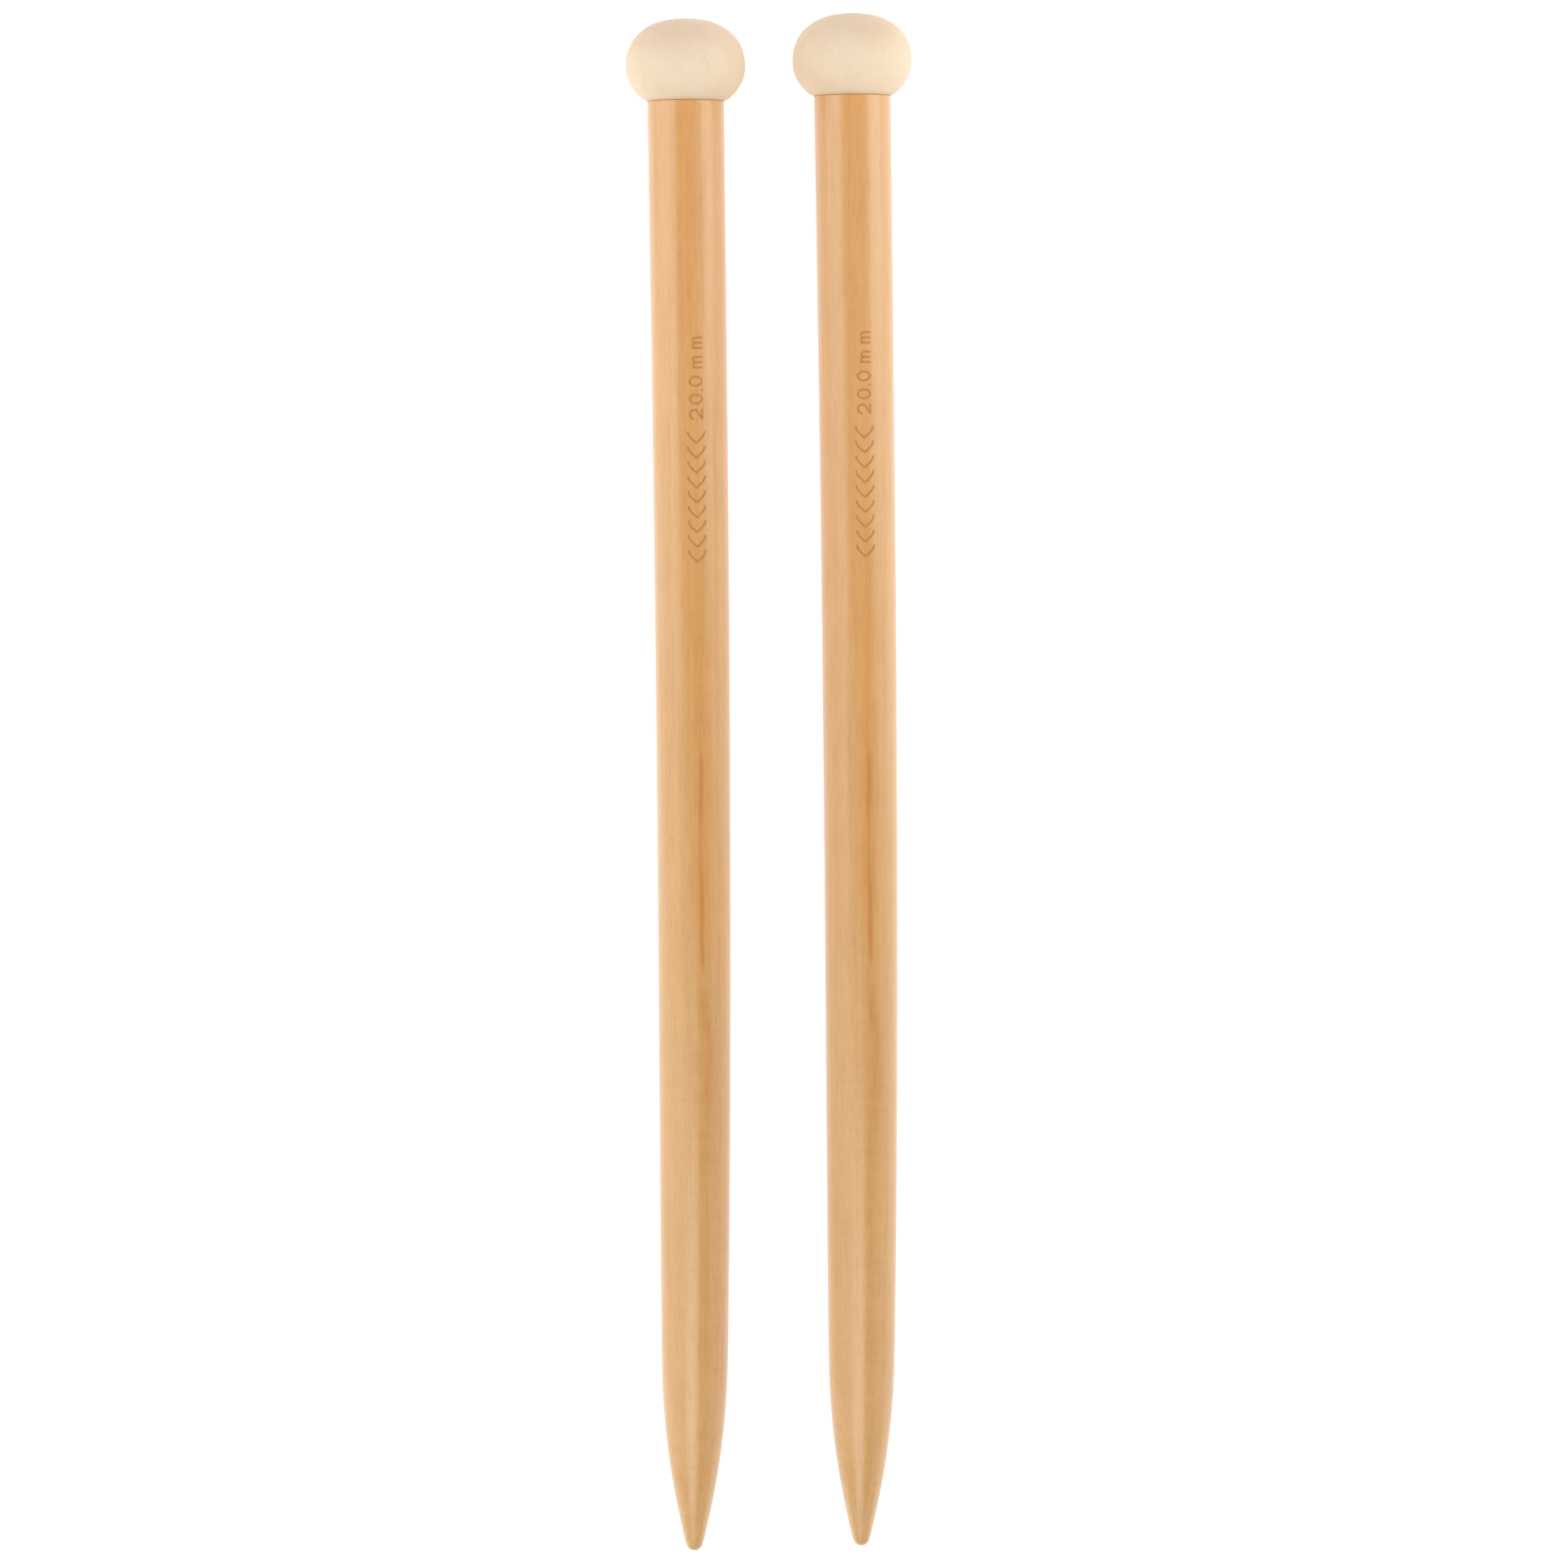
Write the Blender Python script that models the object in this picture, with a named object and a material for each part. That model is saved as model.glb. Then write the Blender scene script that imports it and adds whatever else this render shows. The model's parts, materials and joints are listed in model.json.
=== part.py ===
"""A pair of straight wooden knitting needles of 20 mm gauge, lying side by side on a table.

Each needle is a turned shaft with a tenon on its thick end, glued into the blind bore of a turned knob.
The frame: +Y points along the needles towards the knobs, +X to the right needle and +Z up. The origin lies
on the table, under the middle of the pair. Each needle lies as a real one does, on the widest circle of its
knob and on the shaft just behind the point, so its axis rises a little towards the knob.

Each needle is modelled upright about its own axis, with z = 0 on the shaft's shoulder, the knob above it and
the point below it. An empty then lays both of its pieces down.
"""

import math

import bmesh
import bpy

# The shaft: a slight taper that eases off towards the point, a parabolic point and a small round nose.
GAUGE = 0.020                # diameter at the knob, which sets the size of the stitches
SHAFT_LENGTH = 0.3854        # from the shoulder under the knob to the nose
BODY_LENGTH = 0.334          # from the shoulder to where the point starts
TAPER = 0.0004               # radius lost evenly along the body
EASE = 0.0007                # radius lost besides, nearly all of it near the point
EASE_POWER = 6               # how late on the body that easing comes
POINT_CURVE = 2.42           # the point's loss of radius, per metre, grows with the distance squared
WARP = 0.001                 # how far the middle of the shaft has warped, towards +X

# The joint between shaft and knob: a tenon glued into a blind bore.
TENON_RADIUS = 0.005
TENON_LENGTH = 0.012
TENON_CHAMFER = 0.0006
SHOULDER_CHAMFER = 0.0002
GLUE_GAP = 0.0003            # room for glue all round the tenon and at the shoulder
BORE_END_ROOM = 0.0015       # air left beyond the tenon's end

# The knob: a flattened ball, fuller above its widest circle than an ellipse is.
KNOB_RADIUS = 0.0155
KNOB_BELOW = 0.0083          # from the widest circle down to the flat underside
KNOB_ABOVE = 0.0124          # from the widest circle up to the crown
KNOB_LOWER_HEIGHT = 0.0116   # half height of the ellipse that the lower part follows
KNOB_FULLNESS = 2.3          # exponent of the upper part's superellipse; 2 is an ellipse
UNDERSIDE_RADIUS = 0.0104
UNDERSIDE_ROUNDING = 0.0003
CROWN_RADIUS = 0.003         # of the small sanded flat on top

# How the pair lies: a little closer at the knobs than at the noses, the right needle a little further up.
KNOB_SPACING = 0.0432        # between the two axes at the shoulders
NOSE_SPACING = 0.0449        # between the two axes at the noses
STAGGER = 0.0011             # how far the right needle lies beyond the left one

SIDES = 40                   # facets round every turned piece

SHAFT_WOOD = {"color": (0.73, 0.42, 0.17, 1.0), "roughness": 0.42}
KNOB_WOOD = {"color": (0.83, 0.67, 0.49, 1.0), "roughness": 0.7}


def clear_scene():
    for obj in list(bpy.data.objects):
        bpy.data.objects.remove(obj)


def wood(name, color, roughness):
    material = bpy.data.materials.new(name)
    material.use_nodes = True
    shader = material.node_tree.nodes["Principled BSDF"]
    shader.inputs["Base Color"].default_value = color
    shader.inputs["Roughness"].default_value = roughness
    shader.inputs["Metallic"].default_value = 0.0
    return material


def spread(start, end, count):
    """count + 1 values from start to end, both included."""
    return [start + (end - start) * i / count for i in range(count + 1)]


def shaft_radius(depth):
    """Radius of the shaft at depth below its shoulder, before the nose."""
    along = min(depth / BODY_LENGTH, 1.0)
    radius = GAUGE / 2 - TAPER * along - EASE * along**EASE_POWER
    past = max(depth - BODY_LENGTH, 0.0)
    return radius - point_slope(0.0) * past - POINT_CURVE * past**2


def point_slope(past):
    """How fast the radius shrinks, past metres into the point; it starts at the body's own slope."""
    return (TAPER + EASE_POWER * EASE) / BODY_LENGTH + 2 * POINT_CURVE * past


def nose_start():
    """Depth at which a ball that touches the point all round also ends at the shaft's full length."""
    low, high = BODY_LENGTH, SHAFT_LENGTH
    for _ in range(50):
        depth = (low + high) / 2
        slope = point_slope(depth - BODY_LENGTH)
        ball_end = depth + shaft_radius(depth) * (math.hypot(1.0, slope) - slope)
        low, high = (depth, high) if ball_end < SHAFT_LENGTH else (low, depth)
    return low


def nose_profile(start):
    """(radius, z) round the nose, from just past its start to its end on the axis."""
    slope = point_slope(start - BODY_LENGTH)
    ball = shaft_radius(start) * math.hypot(1.0, slope)
    centre = SHAFT_LENGTH - ball
    angles = spread(math.atan(slope), math.pi / 2, 6)[1:-1]
    points = [(ball * math.cos(angle), -centre - ball * math.sin(angle)) for angle in angles]
    return points + [(0.0, -SHAFT_LENGTH)]


def shaft_profile():
    """(radius, z) down the outside of the shaft, from the tenon's end to the nose."""
    points = [
        (0.0, TENON_LENGTH),
        (TENON_RADIUS - TENON_CHAMFER, TENON_LENGTH),
        (TENON_RADIUS, TENON_LENGTH - TENON_CHAMFER),
        (TENON_RADIUS, 0.0),
        (GAUGE / 2 - SHOULDER_CHAMFER, 0.0),
    ]
    depths = [SHOULDER_CHAMFER]
    depths += spread(0.0, BODY_LENGTH, 14)[1:]
    depths += spread(BODY_LENGTH, nose_start(), 10)[1:]
    points += [(shaft_radius(depth), -depth) for depth in depths]
    return points + nose_profile(depths[-1])


def knob_profile():
    """(radius, z) of the knob: down the outside from the crown, in under it, and up the bore."""
    underside = GLUE_GAP
    widest = underside + KNOB_BELOW
    power = 2 / KNOB_FULLNESS
    points = [(0.0, widest + KNOB_ABOVE)]
    crown_angle = math.acos((CROWN_RADIUS / KNOB_RADIUS) ** (1 / power))
    for angle in spread(crown_angle, 0.0, 11):
        rise = KNOB_ABOVE * (math.sin(angle) / math.sin(crown_angle)) ** power
        points.append((KNOB_RADIUS * math.cos(angle) ** power, widest + rise))
    lower_angle = math.asin((KNOB_BELOW - UNDERSIDE_ROUNDING) / KNOB_LOWER_HEIGHT)
    for angle in spread(0.0, lower_angle, 7)[1:]:
        points.append((KNOB_RADIUS * math.cos(angle), widest - KNOB_LOWER_HEIGHT * math.sin(angle)))
    bore = TENON_RADIUS + GLUE_GAP
    bore_end = TENON_LENGTH + BORE_END_ROOM
    points += [
        (UNDERSIDE_RADIUS, underside),
        (bore + TENON_CHAMFER, underside),
        (bore, underside + TENON_CHAMFER),
        (bore, bore_end),
        (0.0, bore_end),
    ]
    return points


def warp(z):
    """Sideways shift of the axis at height z: a half wave along the shaft, none in the knob."""
    return WARP * math.sin(math.pi * max(-z, 0.0) / SHAFT_LENGTH)


def turned(name, profile, material):
    """A solid of revolution about z, from a profile that starts and ends on the axis, then warped."""
    mesh = bpy.data.meshes.new(name)
    bm = bmesh.new()
    line = [bm.verts.new((0.0, -radius, z)) for radius, z in profile]
    edges = [bm.edges.new(pair) for pair in zip(line, line[1:])]
    full_turn = {"cent": (0, 0, 0), "axis": (0, 0, 1), "angle": 2 * math.pi, "steps": SIDES}
    bmesh.ops.spin(bm, geom=line + edges, use_merge=True, **full_turn)
    bmesh.ops.remove_doubles(bm, verts=bm.verts, dist=1e-6)
    bmesh.ops.recalc_face_normals(bm, faces=bm.faces)
    for vert in bm.verts:
        vert.co.x += warp(vert.co.z)
    bm.to_mesh(mesh)
    bm.free()
    mesh.shade_smooth()
    mesh.set_sharp_from_angle(angle=math.radians(35))
    mesh.materials.append(material)
    obj = bpy.data.objects.new(name, mesh)
    bpy.context.scene.collection.objects.link(obj)
    return obj


def lying_tilt(shaft):
    """How steeply the axis rises when the needle rests on its knob and on the shaft."""
    widest = GLUE_GAP + KNOB_BELOW
    return min(math.atan2(KNOB_RADIUS - radius, widest - z) for radius, z in shaft if z < 0)


def lying_place(outline, tilt):
    """The shoulder's height above the table, and how far it lies towards +Y of the needle's middle."""
    lowest = min(z * math.sin(tilt) - radius * math.cos(tilt) for radius, z in outline)
    knob_end = max(z * math.cos(tilt) + radius * math.sin(tilt) for radius, z in outline)
    nose_end = min(z * math.cos(tilt) - radius * math.sin(tilt) for radius, z in outline)
    return -lowest, -(knob_end + nose_end) / 2


def lay_down(name, pieces, side, tilt, height, forward):
    """Puts a needle's pieces under an empty that lays them down; side is -1 for left and 1 for right."""
    splay = math.asin((NOSE_SPACING - KNOB_SPACING) / 2 / SHAFT_LENGTH)
    empty = bpy.data.objects.new(name, None)
    bpy.context.scene.collection.objects.link(empty)
    empty.location = (side * KNOB_SPACING / 2, forward + side * STAGGER / 2, height)
    empty.rotation_euler = (tilt - math.pi / 2, 0.0, side * splay)
    for piece in pieces:
        piece.parent = empty


def main():
    clear_scene()
    shaft_wood = wood("varnished_wood", **SHAFT_WOOD)
    knob_wood = wood("bare_wood", **KNOB_WOOD)
    shaft, knob = shaft_profile(), knob_profile()
    tilt = lying_tilt(shaft)
    height, forward = lying_place(shaft + knob, tilt)
    for side_name, side in (("left", -1), ("right", 1)):
        pieces = [
            turned(f"{side_name}_shaft", shaft, shaft_wood),
            turned(f"{side_name}_knob", knob, knob_wood),
        ]
        lay_down(f"{side_name}_needle", pieces, side, tilt, height, forward)


main()
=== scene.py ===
"""Looks for a pair of straight wooden knitting needles of 20 mm gauge.

Each needle has three pieces besides its knob: the varnished shaft, a burnt size mark and a burnt row of
stitch marks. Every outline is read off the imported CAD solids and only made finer.

A needle's own frame has z along its axis towards the knob, z = 0 at the shaft's shoulder, and -y up from the
table. "depth" is the distance below the shoulder, and "angle" runs round the shaft from its top towards +x.
"""

import json
import math

import bpy
import numpy as np
from mathutils import Matrix, Vector


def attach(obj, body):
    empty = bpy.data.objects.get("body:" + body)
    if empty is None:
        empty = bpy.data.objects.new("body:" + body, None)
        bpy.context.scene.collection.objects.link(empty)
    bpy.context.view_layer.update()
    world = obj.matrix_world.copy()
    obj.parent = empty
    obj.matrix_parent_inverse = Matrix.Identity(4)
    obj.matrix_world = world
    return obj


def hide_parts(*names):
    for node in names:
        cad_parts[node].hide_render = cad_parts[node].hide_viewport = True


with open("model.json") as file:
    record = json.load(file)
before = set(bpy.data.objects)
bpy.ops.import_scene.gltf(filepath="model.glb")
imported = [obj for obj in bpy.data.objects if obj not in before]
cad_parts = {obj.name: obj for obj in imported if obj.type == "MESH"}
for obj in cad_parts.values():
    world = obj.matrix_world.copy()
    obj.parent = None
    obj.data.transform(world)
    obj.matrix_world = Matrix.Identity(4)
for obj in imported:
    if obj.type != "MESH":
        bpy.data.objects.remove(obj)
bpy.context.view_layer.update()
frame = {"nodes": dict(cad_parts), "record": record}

MM = 0.001

# How fine the surfaces are.
COARSE_ANGLE = math.radians(4.0)
COARSE_DEPTH = 3.0 * MM
MARK_GRID = 0.15 * MM        # spacing of the shaft's points where it is engraved
KNOB_SIDES = 160
KNOB_STEP = 0.35 * MM
RING_GAP = 0.02 * MM         # the least height between two rings of a CAD solid
FINE_STEP = 0.1 * MM
POINT_STEP = 1.2 * MM
POINT_LENGTH = 52 * MM       # of the shaft's tapering point
NOSE_LENGTH = 3.5 * MM       # of the point's round nose
TENON_START = 0.3 * MM       # the shoulder's rings lie between these two heights
SHAFT_START = -0.1 * MM
SHARP_ANGLE = math.radians(40)
GLUE_LINE = 0.05 * MM        # what is seen of the gap between knob and shaft once they are glued
INSET = 0.015 * MM           # keeps the finer turning inside the CAD's facets
UNDERSIDE_EDGE = 0.15 * MM   # the rounding where the knob's underside meets its side

# The burnt marks, read from the point towards the knob, with their tops towards -x.
MARK_ANGLE = math.radians(10.5)      # round from the top of the shaft to the middle of the marks
MARK_MARGIN = 1.0 * MM
STROKE = 0.36 * MM
ENGRAVING = 0.10 * MM                # depth of the groove
CHAR_TOP = 0.04 * MM                 # how far the burnt strip lies below the varnish
CHAR_THICKNESS = 0.04 * MM
SCORCH_REACH = 0.35 * MM             # how far the browning spreads beyond a stroke
SIZE_MARK_START = 81.8 * MM          # depth at which the size mark starts
DIGIT_HEIGHT = 3.2 * MM
DIGIT_WIDTH = 2.3 * MM
LOWER_CASE = 0.68                    # height of an m, as a share of a digit's
LETTER_WIDTH = 2.7 * MM
DIGIT_GAP = 1.6 * MM
POINT_GAP = 1.1 * MM
LETTER_GAP = 2.3 * MM
WORD_GAP = 2.4 * MM
STITCH_ROW_START = 118.8 * MM        # depth at which the row of stitch marks starts
STITCHES = 9
STITCH_PITCH = 3.85 * MM
STITCH_LENGTH = 2.8 * MM
STITCH_HALF_WIDTH = 2.1 * MM
STITCH_OPENING = 0.35                # gap between a stitch's arms where they meet, in strokes
STITCH_BOW = 1.15
DOT = 0.1 * MM                       # run of the decimal point, before its round ends
ROUND_END = np.radians([85, 60, 30])  # where the points of a stroke's round end lie

# Albedos, in linear colour.
# The shaft's colour darkens from head to foot: partly the wood's own colour, partly painted shade where less
# light reaches the shaft towards its point.
HEAD_WOOD = (0.72, 0.405, 0.160, 1)
FOOT_WOOD_AND_SHADE = (0.665, 0.378, 0.137, 1)
# The point's paler, pinker colour is partly end grain and partly painted light, which brightens the point
# where too little light reaches it.
POINT_WOOD_AND_LIGHT = (0.69, 0.43, 0.195, 1)
KNOB_WOOD = (0.83, 0.675, 0.500, 1)

# The camera looks down at the pair from beyond the middle, a little towards the knobs.
CAMERA_DISTANCE = 1102.9 * MM
CAMERA_LEAN = math.radians(6.18)     # from square on to the needles, towards the knobs
CAMERA_DEPTH = 178.7 * MM            # depth of the point on the needles that it looks at
CAMERA_ASIDE = 2.85 * MM             # how far right of the pair's middle line it looks
CAMERA_ROLL = math.radians(0.335)
CAMERA_LENS = 96.0                   # mm, on a 36 mm sensor
SENSOR = 36.0

# The light, in units of the white that just fills the picture. Each softbox stands LAMP_DISTANCE from the
# table's middle and spans a range of angles, in degrees from straight up towards +x, and a range of y.
LAMP_DISTANCE = 0.75
SOFTBOXES = {
    "left_softbox": ((-88, -34), (-0.65, 0.10), 1.05),
    "left_head_softbox": ((-88, -34), (0.10, 0.50), 1.9),
    "foot_softbox": ((-34, 10), (-0.85, -0.25), 2.3),
    "right_softbox": ((47, 88), (-0.65, 0.10), 0.7),
    "right_head_softbox": ((47, 88), (0.10, 0.50), 2.4),
}
HEAD_FILL = ((-5, 45), (0.05, 0.85), 1.6)   # lights the wood, but isn't mirrored in the varnish
SKY = 0.30
TABLE_GLOW = 1.05            # the light table's own light
TABLE_HALF = 3.0
TABLE_DROP = 0.05 * MM       # keeps the table clear of the needles


# ---------------------------------------------------------------- the needles' own frames and outlines

def needle_frame(side):
    """The needle's frame in the world, from the mount on its knob's crown and the shoulder of its shaft."""
    mount = next(m for m in frame["record"]["mounts"] if m["name"] == f"{side}_knob_crown")
    along = Vector(mount["axis"]).normalized()
    across = along.cross(Vector((0, 0, 1))).normalized()
    down = along.cross(across)
    placed = Matrix((across, down, along)).transposed().to_4x4()
    placed.translation = Vector(mount["pos_m"])
    points = node_points(f"{side}_shaft", placed)
    reach = np.hypot(points[:, 0], points[:, 1])
    shoulder = points[reach > 0.8 * reach.max(), 2].max()
    return placed @ Matrix.Translation((0, 0, shoulder))


def node_points(node, placed):
    """A CAD node's points in a needle's frame."""
    points = np.array([v.co for v in frame["nodes"][node].data.vertices])
    back = np.array(placed.inverted())
    return points @ back[:3, :3].T + back[:3, 3]


def outline(node, placed):
    """The node's rings from the top down, as rows of z, radius and sideways shift of the ring's centre."""
    points = node_points(node, placed)
    points = points[np.argsort(-points[:, 2])]
    cuts = np.flatnonzero(-np.diff(points[:, 2]) > RING_GAP) + 1
    rows = []
    for ring in np.split(points, cuts):
        shift = (ring[:, 0].max() + ring[:, 0].min()) / 2
        rows.append((ring[:, 2].mean(), np.hypot(ring[:, 0] - shift, ring[:, 1]).max(), shift))
    return np.array(rows)


def hull_rows(rows):
    """Only the rows on the convex outside of a knob, so without those of its bore."""
    kept = []
    for row in rows:
        while len(kept) > 1 and inside(kept[-2], kept[-1], row):
            kept.pop()
        kept.append(row)
    return np.array(kept)


def inside(before, row, after):
    """True if row's radius falls short of the straight line from before to after."""
    share = (before[0] - row[0]) / (before[0] - after[0])
    return row[1] < before[1] + share * (after[1] - before[1]) - 1e-7


def smooth(rows, step):
    """Rows of a smooth curve through rows, every step along it."""
    length = np.concatenate(([0], np.cumsum(np.hypot(*np.diff(rows[:, :2], axis=0).T))))
    slopes = np.gradient(rows, length, axis=0)
    fine = np.linspace(0, length[-1], max(2, round(length[-1] / step)) + 1)
    at = np.clip(np.searchsorted(length, fine, side="right") - 1, 0, len(rows) - 2)
    span = (length[at + 1] - length[at])[:, None]
    t = (fine - length[at])[:, None] / span
    return (
        (1 + 2 * t) * (1 - t) ** 2 * rows[at]
        + t * (1 - t) ** 2 * span * slopes[at]
        + t**2 * (3 - 2 * t) * rows[at + 1]
        - t**2 * (1 - t) * span * slopes[at + 1]
    )


def rows_at(curve, heights):
    """The curve's rows at those z values."""
    columns = [np.interp(-heights, -curve[:, 0], curve[:, i]) for i in (1, 2)]
    return np.column_stack([heights, *columns])


# ---------------------------------------------------------------- the burnt marks, as strokes on the shaft

def arc(centre, radii, start, end, count=18):
    """Points of an elliptical arc, with angles in degrees."""
    turn = np.radians(np.linspace(start, end, count + 1))
    return np.column_stack([centre[0] + radii[0] * np.cos(turn), centre[1] + radii[1] * np.sin(turn)])


def figure_two():
    """Strokes and width of a 2, like the figures below from its bottom left."""
    w, h = DIGIT_WIDTH, DIGIT_HEIGHT
    hook = arc((w / 2, h - w / 2), (w / 2, w / 2), 165, -38)
    return [np.vstack([hook, straight(hook[-1], (0, 0))[1:]]), straight((0, 0), (w, 0))], w


def figure_nought():
    w, h = DIGIT_WIDTH, DIGIT_HEIGHT
    return [arc((w / 2, h / 2), (w / 2, h / 2), 90, 450, 36)], w


def decimal_point():
    return [straight((0, 0), (DOT, 0), 2)], DOT


def letter_m():
    height = LOWER_CASE * DIGIT_HEIGHT
    arch = LETTER_WIDTH / 2
    strokes = [straight((0, 0), (0, height))]
    for left in (0, arch):
        middle, spring = left + arch / 2, height - arch / 2
        bow = arc((middle, spring), (arch / 2, arch / 2), 180, 0)
        strokes.append(np.vstack([bow, straight(bow[-1], (left + arch, 0))[1:]]))
    return strokes, 2 * arch


def straight(start, end, count=12):
    return np.linspace(start, end, count + 1)


def size_mark():
    """Strokes that read "20.0 mm", as (along, up) from the mark's start and its middle line."""
    strokes, along = [], 0.0
    written = (
        (figure_two, DIGIT_GAP),
        (figure_nought, POINT_GAP),
        (decimal_point, POINT_GAP),
        (figure_nought, WORD_GAP),
        (letter_m, LETTER_GAP),
        (letter_m, 0.0),
    )
    for figure, gap in written:
        shapes, width = figure()
        strokes += [shape + (along, -DIGIT_HEIGHT / 2) for shape in shapes]
        along += width + gap
    return strokes


def stitch_row():
    """A column of knit stitches: nested pairs of slightly bowed arms that meet on the middle line."""
    strokes = []
    for index in range(STITCHES):
        for up in (-1, 1):
            t = np.linspace(0, 1, 13)
            along = index * STITCH_PITCH + STITCH_LENGTH * t
            out = up * (STITCH_OPENING * STROKE + STITCH_HALF_WIDTH * np.sin(t * math.pi / 2) ** STITCH_BOW)
            strokes.append(np.column_stack([along, out]))
    return strokes


MARKS = {"size_mark": (size_mark(), SIZE_MARK_START), "stitch_marks": (stitch_row(), STITCH_ROW_START)}


def on_shaft(stroke, start, radius):
    """A stroke's points as (depth, distance round the shaft from its top)."""
    return np.column_stack([start - stroke[:, 0], radius * MARK_ANGLE - stroke[:, 1]])


def stroke_distance(depth, around, radius):
    """How far each point of the shaft lies from the nearest stroke's middle line."""
    nearest = np.full(depth.shape, 1.0)
    for strokes, start in MARKS.values():
        for stroke in strokes:
            line = on_shaft(stroke, start, radius)
            for a, b in zip(line, line[1:]):
                nearest = np.minimum(nearest, segment_distance(depth, around, a, b))
    return nearest


def segment_distance(x, y, a, b):
    """How far each (x, y) lies from the segment from a to b."""
    run = b - a
    share = np.clip(((x - a[0]) * run[0] + (y - a[1]) * run[1]) / (run @ run), 0, 1)
    return np.hypot(x - a[0] - share * run[0], y - a[1] - share * run[1])


# ---------------------------------------------------------------- meshes

def piece(name, points, faces, placed, material):
    """A mesh from points in a needle's frame, which it keeps as the attribute "own" for its material."""
    points = np.array(points)
    turn = np.array(placed)
    mesh = bpy.data.meshes.new(name)
    mesh.from_pydata((points @ turn[:3, :3].T + turn[:3, 3]).tolist(), [], faces)
    own = mesh.attributes.new("own", "FLOAT_VECTOR", "POINT")
    own.data.foreach_set("vector", points.astype(np.float32).ravel())
    mesh.materials.append(material)
    mesh.shade_smooth()
    mesh.set_sharp_from_angle(angle=SHARP_ANGLE)
    made = bpy.data.objects.new(name, mesh)
    bpy.context.scene.collection.objects.link(made)
    return made


def wrapped(rows, angles, sink=0.0):
    """Points and faces of a turned surface, open at both ends, from rows of z, radius and shift."""
    radius = rows[:, 1][:, None] - sink
    x = rows[:, 2][:, None] + radius * np.sin(angles)
    y = -radius * np.cos(angles)
    z = np.broadcast_to(rows[:, 0][:, None], x.shape)
    points = np.stack([x, y, z], axis=2).reshape(-1, 3)
    count, rings = len(angles), len(rows)
    faces = []
    for ring in range(rings - 1):
        for side in range(count):
            a, b = ring * count + side, ring * count + (side + 1) % count
            faces.append((a, a + count, b + count, b))
    return points, faces


def closed(points, faces, count, top, bottom):
    """The same surface with a point on the axis at each end."""
    first, last = len(points), len(points) + 1
    end = len(points) - count
    points = np.vstack([points, top, bottom])
    for side in range(count):
        after = (side + 1) % count
        faces.append((first, side, after))
        faces.append((last, end + after, end + side))
    return points, faces


def shaft_angles(radius):
    """Angles round the shaft, close together where it is engraved."""
    half = (STITCH_HALF_WIDTH + MARK_MARGIN) / radius
    fine = np.arange(MARK_ANGLE - half, MARK_ANGLE + half, MARK_GRID / radius)
    rest = 2 * math.pi - (fine[-1] - fine[0])
    coarse = fine[-1] + np.linspace(0, rest, round(rest / COARSE_ANGLE) + 1)[1:-1]
    return np.concatenate([fine, coarse])


def shaft_depths(length):
    """Depths down the shaft, close together where it is engraved and at the nose."""
    ends = []
    for strokes, start in MARKS.values():
        reach = max(stroke[:, 0].max() for stroke in strokes)
        ends += [start + MARK_MARGIN, start - reach - MARK_MARGIN]
    first, last = min(ends), max(ends)
    point = length - POINT_LENGTH
    return np.concatenate([
        np.arange(COARSE_DEPTH, first, COARSE_DEPTH),
        np.arange(first, last, MARK_GRID),
        np.arange(last, point, COARSE_DEPTH),
        np.arange(point, length - NOSE_LENGTH, POINT_STEP),
    ])


def make_shaft(side, placed, material):
    """The shaft with its tenon and its engraved grooves, the CAD's rows of its outside, and its radius."""
    rows = outline(f"{side}_shaft", placed)
    tenon = rows[rows[:, 0] > TENON_START]
    outside = rows[rows[:, 0] < SHAFT_START]
    shoulder = rows[(rows[:, 0] <= TENON_START) & (rows[:, 0] >= SHAFT_START)]
    length = -outside[-1, 0]
    curve = smooth(outside, FINE_STEP)
    body = rows_at(curve, -shaft_depths(length)) - (0, INSET, 0)
    tail = curve[curve[:, 0] < -(length - NOSE_LENGTH)][::2][:-1] - (0, INSET, 0)
    foot = np.array([[shoulder[0, 0], tenon[-1, 1], 0.0]])
    full = np.vstack([tenon, foot, shoulder, outside[:1], body, tail])
    radius = float(np.interp(SIZE_MARK_START, -body[:, 0], body[:, 1]))
    angles = shaft_angles(radius)
    depth = np.broadcast_to(-full[:, 0][:, None], (len(full), len(angles)))
    away = np.mod(angles + math.pi, 2 * math.pi) - math.pi
    around = np.broadcast_to(away * radius, depth.shape)
    distance = stroke_distance(depth, around, radius)
    groove = ENGRAVING * falling(distance, 0.5 * STROKE, 0.9 * STROKE)
    points, faces = wrapped(full, angles, groove)
    top = (0.0, 0.0, full[0, 0])
    bottom = (outside[-1, 2], 0.0, -length)
    points, faces = closed(points, faces, len(angles), top, bottom)
    made = piece(f"{side}_shaft_turned", points, faces, placed, material)
    scorch = np.concatenate([falling(distance, 0.4 * STROKE, 0.4 * STROKE + SCORCH_REACH).ravel(), [0, 0]])
    made.data.attributes.new("scorch", "FLOAT", "POINT").data.foreach_set("value", scorch.astype(np.float32))
    return made, outside, radius


def falling(distance, start, end):
    """1 up to start, 0 beyond end, and a smooth step between."""
    t = np.clip((end - distance) / (end - start), 0, 1)
    return t * t * (3 - 2 * t)


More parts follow.
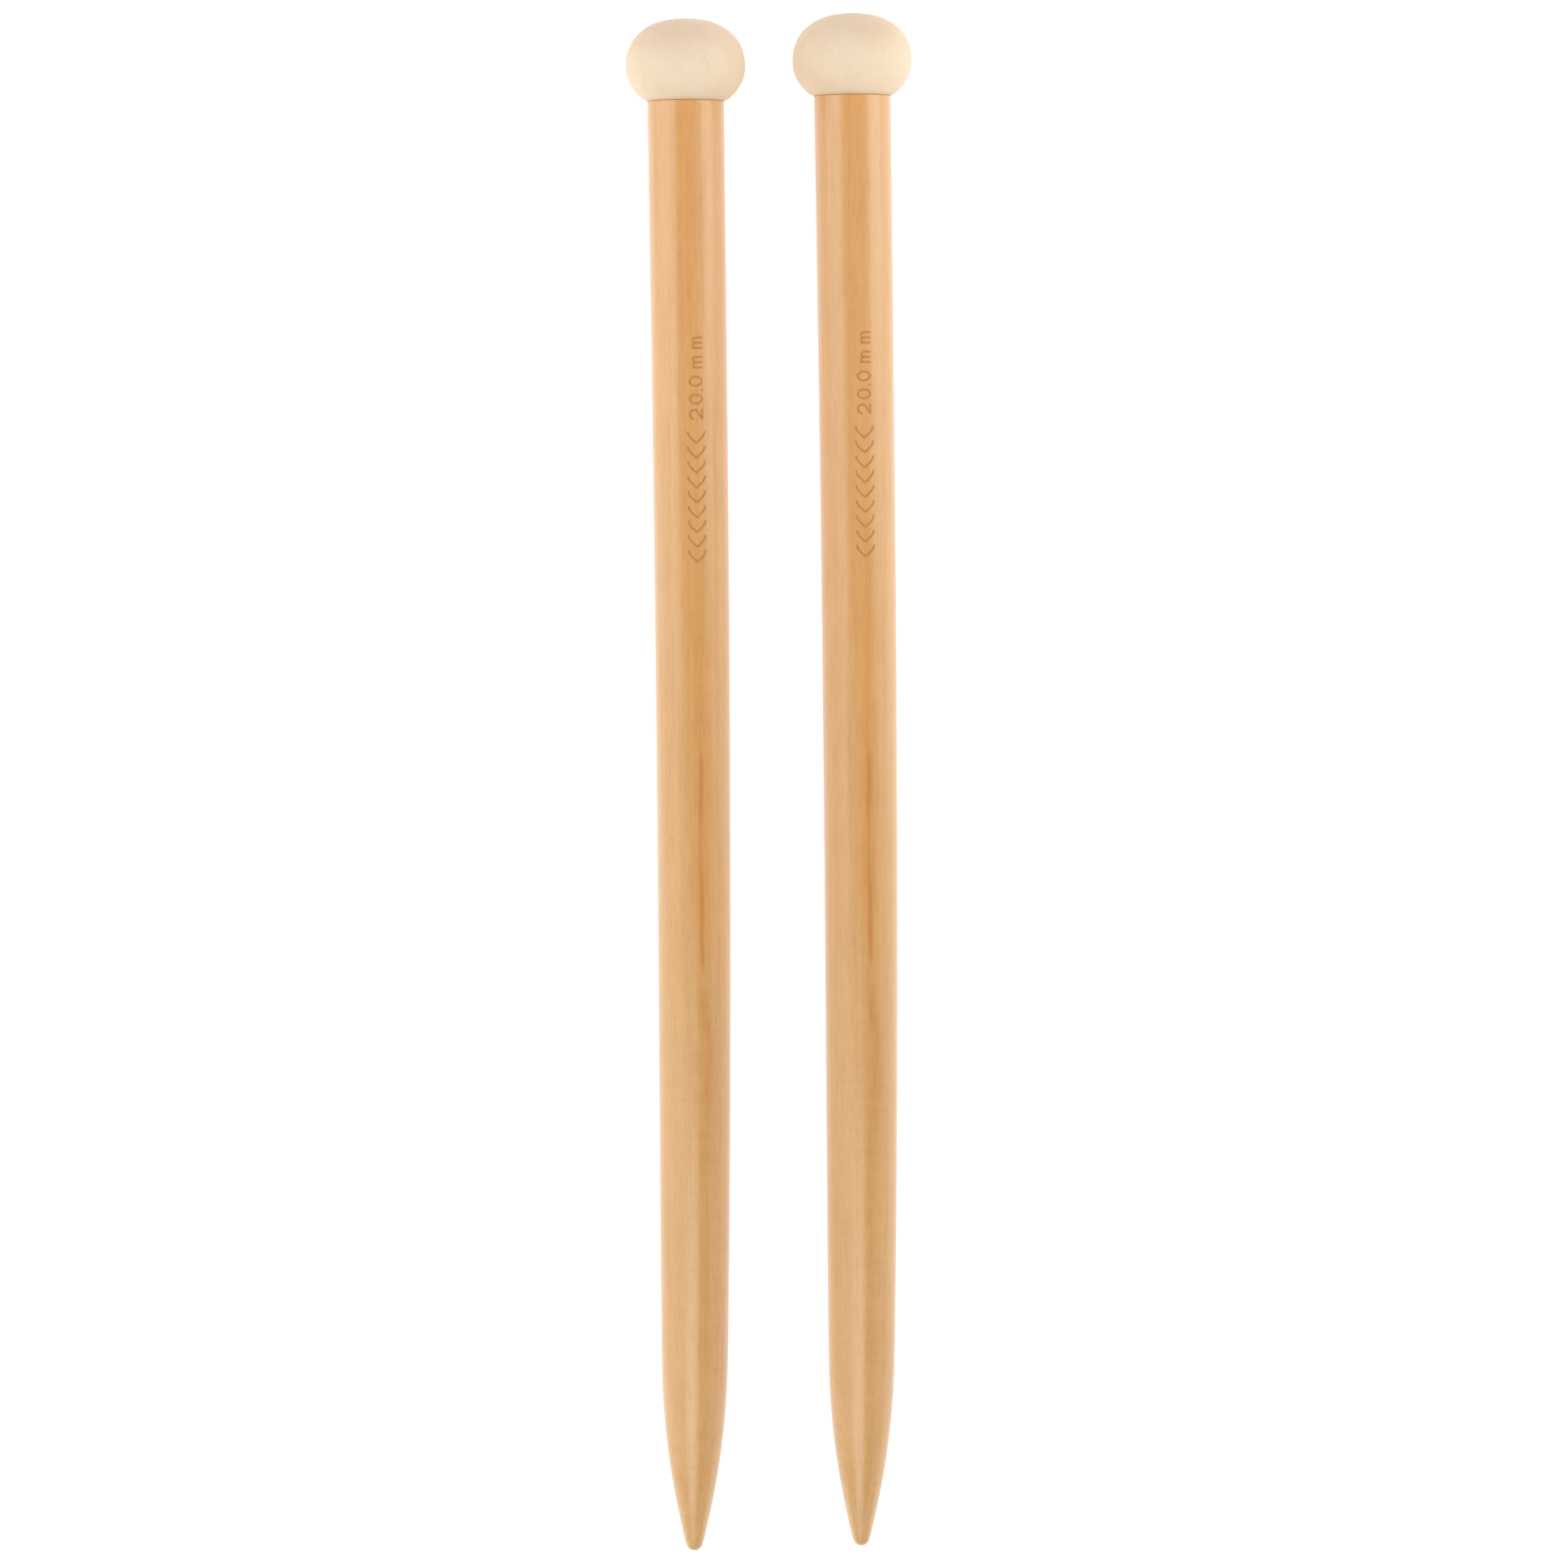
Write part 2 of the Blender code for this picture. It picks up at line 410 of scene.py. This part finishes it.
def make_knob(side, placed, material):
    """The knob, turned over its crown and side, with its underside and its bore."""
    outside = hull_rows(outline(f"{side}_knob", placed))
    curve = smooth(outside, KNOB_STEP) - (0, INSET, 0)
    curve = curve[curve[:, 0] > outside[-1, 0] + UNDERSIDE_EDGE]
    edge = np.array([[GLUE_LINE, outside[-1, 1] - UNDERSIDE_EDGE, 0.0]])
    full = np.vstack([curve, edge, bore_rows(side, placed)])
    angles = np.linspace(0, 2 * math.pi, KNOB_SIDES, endpoint=False)
    points, faces = wrapped(full, angles)
    top = (0.0, 0.0, full[0, 0])
    bottom = (0.0, 0.0, full[-1, 0])
    points, faces = closed(points, faces, len(angles), top, bottom)
    return piece(f"{side}_knob_turned", points, faces, placed, material)


def bore_rows(side, placed):
    """The bore, from the chamfer of its mouth up to its blind end."""
    points = node_points(f"{side}_knob", placed)
    reach = np.hypot(points[:, 0], points[:, 1])
    radius = reach[points[:, 2] < 2 * MM].min()
    wall = points[np.abs(reach - radius) < 0.05 * MM, 2]
    chamfer = wall.min() - points[:, 2].min()
    return np.array([
        [GLUE_LINE, radius + chamfer, 0.0],
        [GLUE_LINE + chamfer, radius, 0.0],
        [wall.max(), radius, 0.0],
    ])


def make_mark(side, name, placed, outside, radius, material):
    """The burnt floor of a mark's strokes: thin strips with round ends that lie in the grooves."""
    strokes, start = MARKS[name]
    points, faces = [], []
    for stroke in strokes:
        line = on_shaft(stroke, start, radius)
        is_closed = np.allclose(line[0], line[-1])
        left, right = strip_edges(line, is_closed)
        add_strip(points, faces, left, right, outside, is_closed)
    return piece(f"{side}_{name}", points, faces, placed, material)


def strip_edges(line, is_closed):
    """The two edges of a stroke's strip; an open stroke is drawn out and narrowed to round ends."""
    run = np.gradient(line, axis=0)
    if is_closed:
        line, run = line[:-1], (np.roll(line[:-1], -1, 0) - np.roll(line[:-1], 1, 0))
    run /= np.linalg.norm(run, axis=1)[:, None]
    half = np.full(len(line), STROKE / 2)
    if not is_closed:
        reach = STROKE / 2 * np.sin(ROUND_END)
        start = [line[0] - run[0] * r for r in reach]
        end = [line[-1] + run[-1] * r for r in reach[::-1]]
        narrow = STROKE / 2 * np.cos(ROUND_END)
        line = np.vstack([start, line, end])
        run = np.vstack([[run[0]] * len(ROUND_END), run, [run[-1]] * len(ROUND_END)])
        half = np.concatenate([narrow, half, narrow[::-1]])
    normal = np.column_stack([-run[:, 1], run[:, 0]]) * half[:, None]
    return line + normal, line - normal


def add_strip(points, faces, left, right, outside, is_closed):
    """Adds a strip as a closed solid of rectangular section, bent round the shaft."""
    first, count = len(points), len(left)
    for pair in zip(left, right):
        for sunk in (CHAR_TOP, CHAR_TOP + CHAR_THICKNESS):
            points += [shaft_point(depth, around, sunk, outside) for depth, around in pair]
    steps = count if is_closed else count - 1
    for i in range(steps):
        a, b = first + 4 * i, first + 4 * ((i + 1) % count)
        faces += [(a, a + 1, b + 1, b), (a + 1, a + 3, b + 3, b + 1)]
        faces += [(a + 3, a + 2, b + 2, b + 3), (a + 2, a, b, b + 2)]
    if not is_closed:
        last = first + 4 * (count - 1)
        faces += [(first, first + 2, first + 3, first + 1), (last, last + 1, last + 3, last + 2)]


def shaft_point(depth, around, sunk, outside):
    """The point of the shaft at that depth, that far round from its top and that far under its surface."""
    radius = np.interp(depth, -outside[:, 0], outside[:, 1])
    shift = np.interp(depth, -outside[:, 0], outside[:, 2])
    nominal = np.interp(SIZE_MARK_START, -outside[:, 0], outside[:, 1])
    angle = around / nominal
    return (shift + (radius - sunk) * math.sin(angle), -(radius - sunk) * math.cos(angle), -depth)


# ---------------------------------------------------------------- materials

def new_tree(name):
    """A new material, its node tree and its shader."""
    material = bpy.data.materials.new(name)
    material.use_nodes = True
    tree = material.node_tree
    return material, tree, tree.nodes["Principled BSDF"]


def add(tree, kind, inputs=None, **settings):
    """A new node. inputs maps a socket's name or number to a value or to the socket that feeds it."""
    made = tree.nodes.new(kind)
    for key, value in settings.items():
        setattr(made, key, value)
    for key, value in (inputs or {}).items():
        if isinstance(value, bpy.types.NodeSocket):
            tree.links.new(value, made.inputs[key])
        else:
            made.inputs[key].default_value = value
    return made


def math_node(tree, operation, *values, clamp=False):
    inputs = dict(enumerate(values))
    return add(tree, "ShaderNodeMath", inputs, operation=operation, use_clamp=clamp).outputs[0]


def remap(tree, value, low, high, to_low=0.0, to_high=1.0):
    """A smooth step from to_low to to_high as the value goes from low to high."""
    inputs = {"Value": value, "From Min": low, "From Max": high, "To Min": to_low, "To Max": to_high}
    made = add(tree, "ShaderNodeMapRange", inputs, interpolation_type="SMOOTHSTEP")
    return made.outputs["Result"]


def mix(tree, share, first, second, blend="MIX"):
    made = add(tree, "ShaderNodeMix", data_type="RGBA", blend_type=blend)
    for socket, value in ((made.inputs[0], share), (made.inputs[6], first), (made.inputs[7], second)):
        if isinstance(value, bpy.types.NodeSocket):
            tree.links.new(value, socket)
        else:
            socket.default_value = value
    return made.outputs[2]


def own_place(tree):
    """Where a point lies in its needle's frame, in metres."""
    return add(tree, "ShaderNodeAttribute", attribute_name="own").outputs["Vector"]


def place(tree, scale):
    """The needle's own coordinates, in metres, times scale."""
    return add(tree, "ShaderNodeMapping", {"Vector": own_place(tree), "Scale": scale}).outputs["Vector"]


def noise(tree, scale, detail=3.0, roughness=0.5, seed=0.0):
    """Noise whose features are 1 / scale metres long each way."""
    inputs = {"Vector": place(tree, scale), "W": seed, "Scale": 1.0, "Detail": detail, "Roughness": roughness}
    return add(tree, "ShaderNodeTexNoise", inputs, noise_dimensions="4D").outputs["Fac"]


def axes(tree):
    """The needle's x, y and z in metres."""
    return add(tree, "ShaderNodeSeparateXYZ", {0: own_place(tree)}).outputs


def bump(tree, shader, height, distance, strength=1.0):
    made = add(tree, "ShaderNodeBump", {"Height": height, "Distance": distance, "Strength": strength})
    tree.links.new(made.outputs["Normal"], shader.inputs["Normal"])


def growth_bands(tree, pith, spacing, wander, seed):
    """0 to 1 across each year's growth, from rings round a pith line beside the needle."""
    x, y, _ = axes(tree)
    drift = math_node(tree, "MULTIPLY", noise(tree, (30, 30, 7), 2.0, 0.5, seed), wander)
    across = math_node(tree, "SUBTRACT", x, pith[0])
    down = math_node(tree, "SUBTRACT", y, pith[1])
    reach = math_node(tree, "SQRT", math_node(
        tree, "ADD", math_node(tree, "MULTIPLY", across, across), math_node(tree, "MULTIPLY", down, down)
    ))
    return math_node(tree, "FRACT", math_node(tree, "DIVIDE", math_node(tree, "ADD", reach, drift), spacing))


def tinted(tree, color, share, strength, tint):
    """The colour multiplied by tint where share is 1, at that strength."""
    return mix(tree, math_node(tree, "MULTIPLY", share, strength), color, (*tint, 1), "MULTIPLY")


def swaying(tree, middle, length, reach, seed):
    """How far a point lies from a line along the shaft at x = middle, which sways by reach over length."""
    sway = math_node(tree, "SUBTRACT", noise(tree, (1, 1, 1 / length), 2.0, 0.5, seed), 0.5)
    middle = math_node(tree, "ADD", middle, math_node(tree, "MULTIPLY", sway, reach))
    return math_node(tree, "ABSOLUTE", math_node(tree, "SUBTRACT", axes(tree)[0], middle))


def product(tree, *values):
    """The values multiplied together."""
    result = values[0]
    for value in values[1:]:
        result = math_node(tree, "MULTIPLY", result, value)
    return result


def heart_line_and_shade(tree):
    """A broad orange band along the top of the shaft, partly heartwood and partly painted shade where the
    varnish mirrors no lamp, and further down the heartwood's dark core line.
    """
    _, y, z = axes(tree)
    on_top = remap(tree, y, -1 * MM, -6 * MM)
    drift = remap(tree, z, -90 * MM, -180 * MM, 0.6 * MM, 3.2 * MM)
    off = swaying(tree, drift, 42 * MM, 1.6 * MM, 3.0)
    heart_and_shade_band = product(tree, remap(tree, off, 4.6 * MM, 1.2 * MM), on_top, remap(tree, z, -236 * MM, -200 * MM))
    from_break = math_node(tree, "ABSOLUTE", math_node(tree, "SUBTRACT", z, -194 * MM))
    patchy = remap(tree, from_break, 3 * MM, 12 * MM, 0.5, 1.0)
    grows = remap(tree, z, -163 * MM, -175 * MM)
    stops = remap(tree, z, -230 * MM, -222 * MM)
    core = product(tree, remap(tree, off, 0.95 * MM, 0.05 * MM), on_top, grows, stops, patchy)
    return heart_and_shade_band, core


def side_branch(tree):
    """A fainter, broader dark line that takes over below the heart line and bends towards +x."""
    _, y, z = axes(tree)
    middle = remap(tree, z, -229 * MM, -249 * MM, 2.9 * MM, 4.9 * MM)
    off = swaying(tree, middle, 16 * MM, 1.4 * MM, 9.0)
    starts = remap(tree, z, -227 * MM, -236 * MM)
    ends = remap(tree, z, -285 * MM, -252 * MM)
    return product(tree, remap(tree, off, 2.2 * MM, 0.1 * MM), remap(tree, y, -1 * MM, -5 * MM), starts, ends)


def varnished_wood(name, seed):
    """Straight-grained pale wood under satin varnish, which turns it honey to orange."""
    material, tree, shader = new_tree(name)
    fibre = noise(tree, (3300, 3300, 75), 3.0, 0.6, seed)
    lines = noise(tree, (1250, 1250, 16), 2.0, 0.5, seed + 1.0)
    zones = noise(tree, (170, 170, 5), 2.0, 0.5, 5.0)
    cloud = noise(tree, (210, 210, 70), 3.0, 0.55, 8.0)
    ripple = noise(tree, (120, 120, 520), 2.0, 0.5, 2.0)
    dashes = noise(tree, (1900, 1900, 190), 2.0, 0.55, seed + 4.0)
    pores = noise(tree, (5200, 5200, 420), 1.0, 0.5, seed + 2.0)
    late = remap(tree, growth_bands(tree, (-0.021, -0.034), 2.6 * MM, 4.0 * MM, 1.0), 0.2, 0.95)
    _, _, z = axes(tree)

    # Painted shade in part: the wood darkens from the head towards the point, where the light falls off.
    color = mix(tree, remap(tree, z, -40 * MM, -260 * MM), HEAD_WOOD, FOOT_WOOD_AND_SHADE)
    # Painted light in part: the point is paler and pinker.
    color = mix(tree, remap(tree, z, -362 * MM, -382 * MM), color, POINT_WOOD_AND_LIGHT)
    color = tinted(tree, color, remap(tree, zones, 0.36, 0.64), 0.7, (0.97, 0.93, 0.84))
    color = tinted(tree, color, late, 0.28, (0.95, 0.88, 0.76))
    color = tinted(tree, color, remap(tree, cloud, 0.38, 0.68), 0.8, (0.96, 0.94, 0.91))
    color = tinted(tree, color, remap(tree, lines, 0.46, 0.74), 0.6, (0.93, 0.87, 0.77))
    color = tinted(tree, color, remap(tree, dashes, 0.42, 0.72), 0.7, (0.92, 0.87, 0.79))
    rippled = math_node(tree, "MULTIPLY", remap(tree, ripple, 0.4, 0.7), remap(tree, z, -205 * MM, -240 * MM))
    color = tinted(tree, color, rippled, 0.5, (0.95, 0.92, 0.88))
    heart_and_shade_band, core = heart_line_and_shade(tree)
    # Painted shade in part: the broad band makes the top of the shaft more orange where the varnish mirrors
    # no lamp.
    color = tinted(tree, color, heart_and_shade_band, 1.0, (1.0, 0.91, 0.74))
    color = tinted(tree, color, core, 0.78, (0.86, 0.63, 0.38))
    color = tinted(tree, color, side_branch(tree), 0.85, (0.93, 0.82, 0.62))
    color = tinted(tree, color, remap(tree, fibre, 0.5, 0.8), 0.6, (0.88, 0.79, 0.66))
    color = tinted(tree, color, remap(tree, pores, 0.66, 0.76), 0.6, (0.72, 0.58, 0.42))
    scorch = add(tree, "ShaderNodeAttribute", attribute_name="scorch").outputs["Fac"]
    color = tinted(tree, color, scorch, 0.40, (0.74, 0.56, 0.36))
    tree.links.new(color, shader.inputs["Base Color"])

    tree.links.new(remap(tree, fibre, 0.3, 0.75, 0.46, 0.54), shader.inputs["Roughness"])
    shader.inputs["Specular IOR Level"].default_value = 0.1
    shader.inputs["Coat Weight"].default_value = 1.0
    shader.inputs["Coat IOR"].default_value = 1.7
    shader.inputs["Coat Roughness"].default_value = 0.28
    bump(tree, shader, fibre, 0.02 * MM, 0.35)
    return material


def bare_wood(name, seed):
    """Sanded cream wood without varnish, with fine pores; a little pinker and darker towards the crown,
    partly its end grain and partly painted shade where the crown faces away from the light.
    """
    material, tree, shader = new_tree(name)
    mottle = noise(tree, (330, 330, 170), 4.0, 0.6, seed)
    cloud = noise(tree, (85, 85, 60), 2.0, 0.5, seed + 3.0)
    fibre = noise(tree, (2600, 2600, 340), 3.0, 0.6, seed + 5.0)
    pores = noise(tree, (4200, 4200, 1100), 1.0, 0.5, seed + 8.0)
    _, y, z = axes(tree)
    color = tinted(tree, KNOB_WOOD, remap(tree, cloud, 0.35, 0.65), 1.0, (0.985, 0.97, 0.94))
    color = tinted(tree, color, remap(tree, mottle, 0.45, 0.7), 0.6, (0.96, 0.94, 0.90))
    # Painted shade in part: pinker and darker towards the crown, which faces away from the light.
    color = tinted(tree, color, remap(tree, z, 8 * MM, 20 * MM), 1.0, (0.97, 0.93, 0.93))
    color = tinted(tree, color, remap(tree, fibre, 0.5, 0.8), 0.5, (0.93, 0.89, 0.82))
    color = tinted(tree, color, remap(tree, pores, 0.66, 0.76), 0.5, (0.84, 0.77, 0.68))
    bent = math_node(tree, "MULTIPLY", math_node(tree, "SUBTRACT", z, 10.4 * MM), 0.8)
    middle = math_node(tree, "ADD", bent, 5.2 * MM)
    fleck = product(
        tree,
        remap(tree, swaying(tree, middle, 0.8 * MM, 1.2 * MM, 2.0), 0.34 * MM, 0.05 * MM),
        remap(tree, math_node(tree, "ABSOLUTE", bent), 0.85 * MM, 0.3 * MM),
        remap(tree, y, -6 * MM, -9 * MM),
    )
    color = tinted(tree, color, fleck, 0.5, (0.88, 0.84, 0.74))
    tree.links.new(color, shader.inputs["Base Color"])
    tree.links.new(remap(tree, mottle, 0.3, 0.75, 0.62, 0.74), shader.inputs["Roughness"])
    shader.inputs["Specular IOR Level"].default_value = 0.35
    bump(tree, shader, fibre, 0.03 * MM, 0.4)
    return material


def burnt_wood(name):
    """The brown floor of the laser-burnt strokes, lighter where the beam skipped."""
    material, tree, shader = new_tree(name)
    grain = noise(tree, (3200, 3200, 900), 3.0, 0.6, 4.0)
    color = mix(tree, remap(tree, grain, 0.3, 0.7), (0.44, 0.175, 0.042, 1), (0.58, 0.255, 0.075, 1))
    tree.links.new(color, shader.inputs["Base Color"])
    tree.links.new(remap(tree, grain, 0.3, 0.7, 0.7, 0.85), shader.inputs["Roughness"])
    bump(tree, shader, grain, 0.02 * MM, 0.4)
    return material


def paper(name):
    """The white top of a light table, which glows, so that shadows stay faint."""
    material, tree, shader = new_tree(name)
    shade = add(tree, "ShaderNodeTexNoise", {"Scale": 9.0}).outputs["Fac"]
    color = mix(tree, shade, (0.29, 0.29, 0.29, 1), (0.31, 0.31, 0.31, 1))
    tree.links.new(color, shader.inputs["Base Color"])
    shader.inputs["Roughness"].default_value = 0.9
    shader.inputs["Specular IOR Level"].default_value = 0.1
    shader.inputs["Emission Color"].default_value = (1.0, 1.0, 1.0, 1.0)
    shader.inputs["Emission Strength"].default_value = TABLE_GLOW
    return material


# ---------------------------------------------------------------- studio

def camera_at(left, right):
    """Looks at the middle line of the pair, from the two needles' frames, which share one tilt."""
    along = (left.to_3x3() @ Vector((0, 0, 1))).normalized()
    tilt = math.asin(along.z)
    lean = CAMERA_LEAN - tilt
    middle = (left.translation + right.translation) / 2
    target = middle - Vector((0, math.cos(tilt), math.sin(tilt))) * CAMERA_DEPTH
    target.x = middle.x + CAMERA_ASIDE
    back = Vector((0, math.sin(lean), math.cos(lean)))
    up = Vector((0, math.cos(lean), -math.sin(lean)))
    turned = Matrix((Vector((1, 0, 0)), up, back)).transposed().to_4x4()
    data = bpy.data.cameras.new("camera")
    data.lens = CAMERA_LENS
    data.sensor_width = SENSOR
    camera = bpy.data.objects.new("camera", data)
    roll = Matrix.Rotation(-CAMERA_ROLL, 4, "Z")
    camera.matrix_world = Matrix.Translation(target + back * CAMERA_DISTANCE) @ turned @ roll
    bpy.context.scene.collection.objects.link(camera)
    bpy.context.scene.camera = camera


def softbox(name, angles, reach, radiance):
    """An area light that spans those angles and that reach of y, and faces the middle of the table."""
    first, last = np.radians(angles)
    middle = (first + last) / 2
    data = bpy.data.lights.new(name, "AREA")
    data.shape = "RECTANGLE"
    data.size = 2 * LAMP_DISTANCE * math.tan((last - first) / 2)
    data.size_y = reach[1] - reach[0]
    data.energy = radiance * math.pi * data.size * data.size_y
    lamp = bpy.data.objects.new(name, data)
    lamp.location = (LAMP_DISTANCE * math.sin(middle), sum(reach) / 2, LAMP_DISTANCE * math.cos(middle))
    lamp.rotation_euler = (0.0, middle, 0.0)
    lamp.visible_camera = False
    bpy.context.scene.collection.objects.link(lamp)
    return lamp


def studio():
    """The light table, the sky and the lamps."""
    mesh = bpy.data.meshes.new("floor")
    half = TABLE_HALF
    corners = [(-half, -half, 0), (half, -half, 0), (half, half, 0), (-half, half, 0)]
    mesh.from_pydata(corners, [], [(0, 1, 2, 3)])
    mesh.materials.append(paper("paper"))
    floor = bpy.data.objects.new("floor", mesh)
    floor.location.z = -TABLE_DROP
    bpy.context.scene.collection.objects.link(floor)
    world = bpy.data.worlds.new("studio")
    world.use_nodes = True
    world.node_tree.nodes["Background"].inputs["Color"].default_value = (1.0, 1.0, 1.0, 1.0)
    world.node_tree.nodes["Background"].inputs["Strength"].default_value = SKY
    bpy.context.scene.world = world
    for name, lamp in SOFTBOXES.items():
        softbox(name, *lamp)
    softbox("head_fill", *HEAD_FILL).visible_glossy = False
    bpy.context.scene.view_settings.view_transform = "Standard"


# ---------------------------------------------------------------- the object

# Both needles have the same figure in the wood, and each its own fine grain.
needles = {side: needle_frame(side) for side in ("left", "right")}
char = burnt_wood("burnt_wood")
for number, (side, placed) in enumerate(needles.items()):
    body = f"{side}_needle"
    shaft, outside, radius = make_shaft(side, placed, varnished_wood(f"{side}_varnished_wood", 11.0 * number))
    shaft.visible_glossy = False     # so neither needle is mirrored in the other's varnish
    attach(shaft, body)
    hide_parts(f"{side}_shaft")
    knob = make_knob(side, placed, bare_wood(f"{side}_bare_wood", 6.0 + 4.0 * number))
    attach(knob, body)
    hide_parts(f"{side}_knob")
    for name in MARKS:
        mark = make_mark(side, name, placed, outside, radius, char)
        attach(mark, body)

studio()
camera_at(needles["left"], needles["right"])
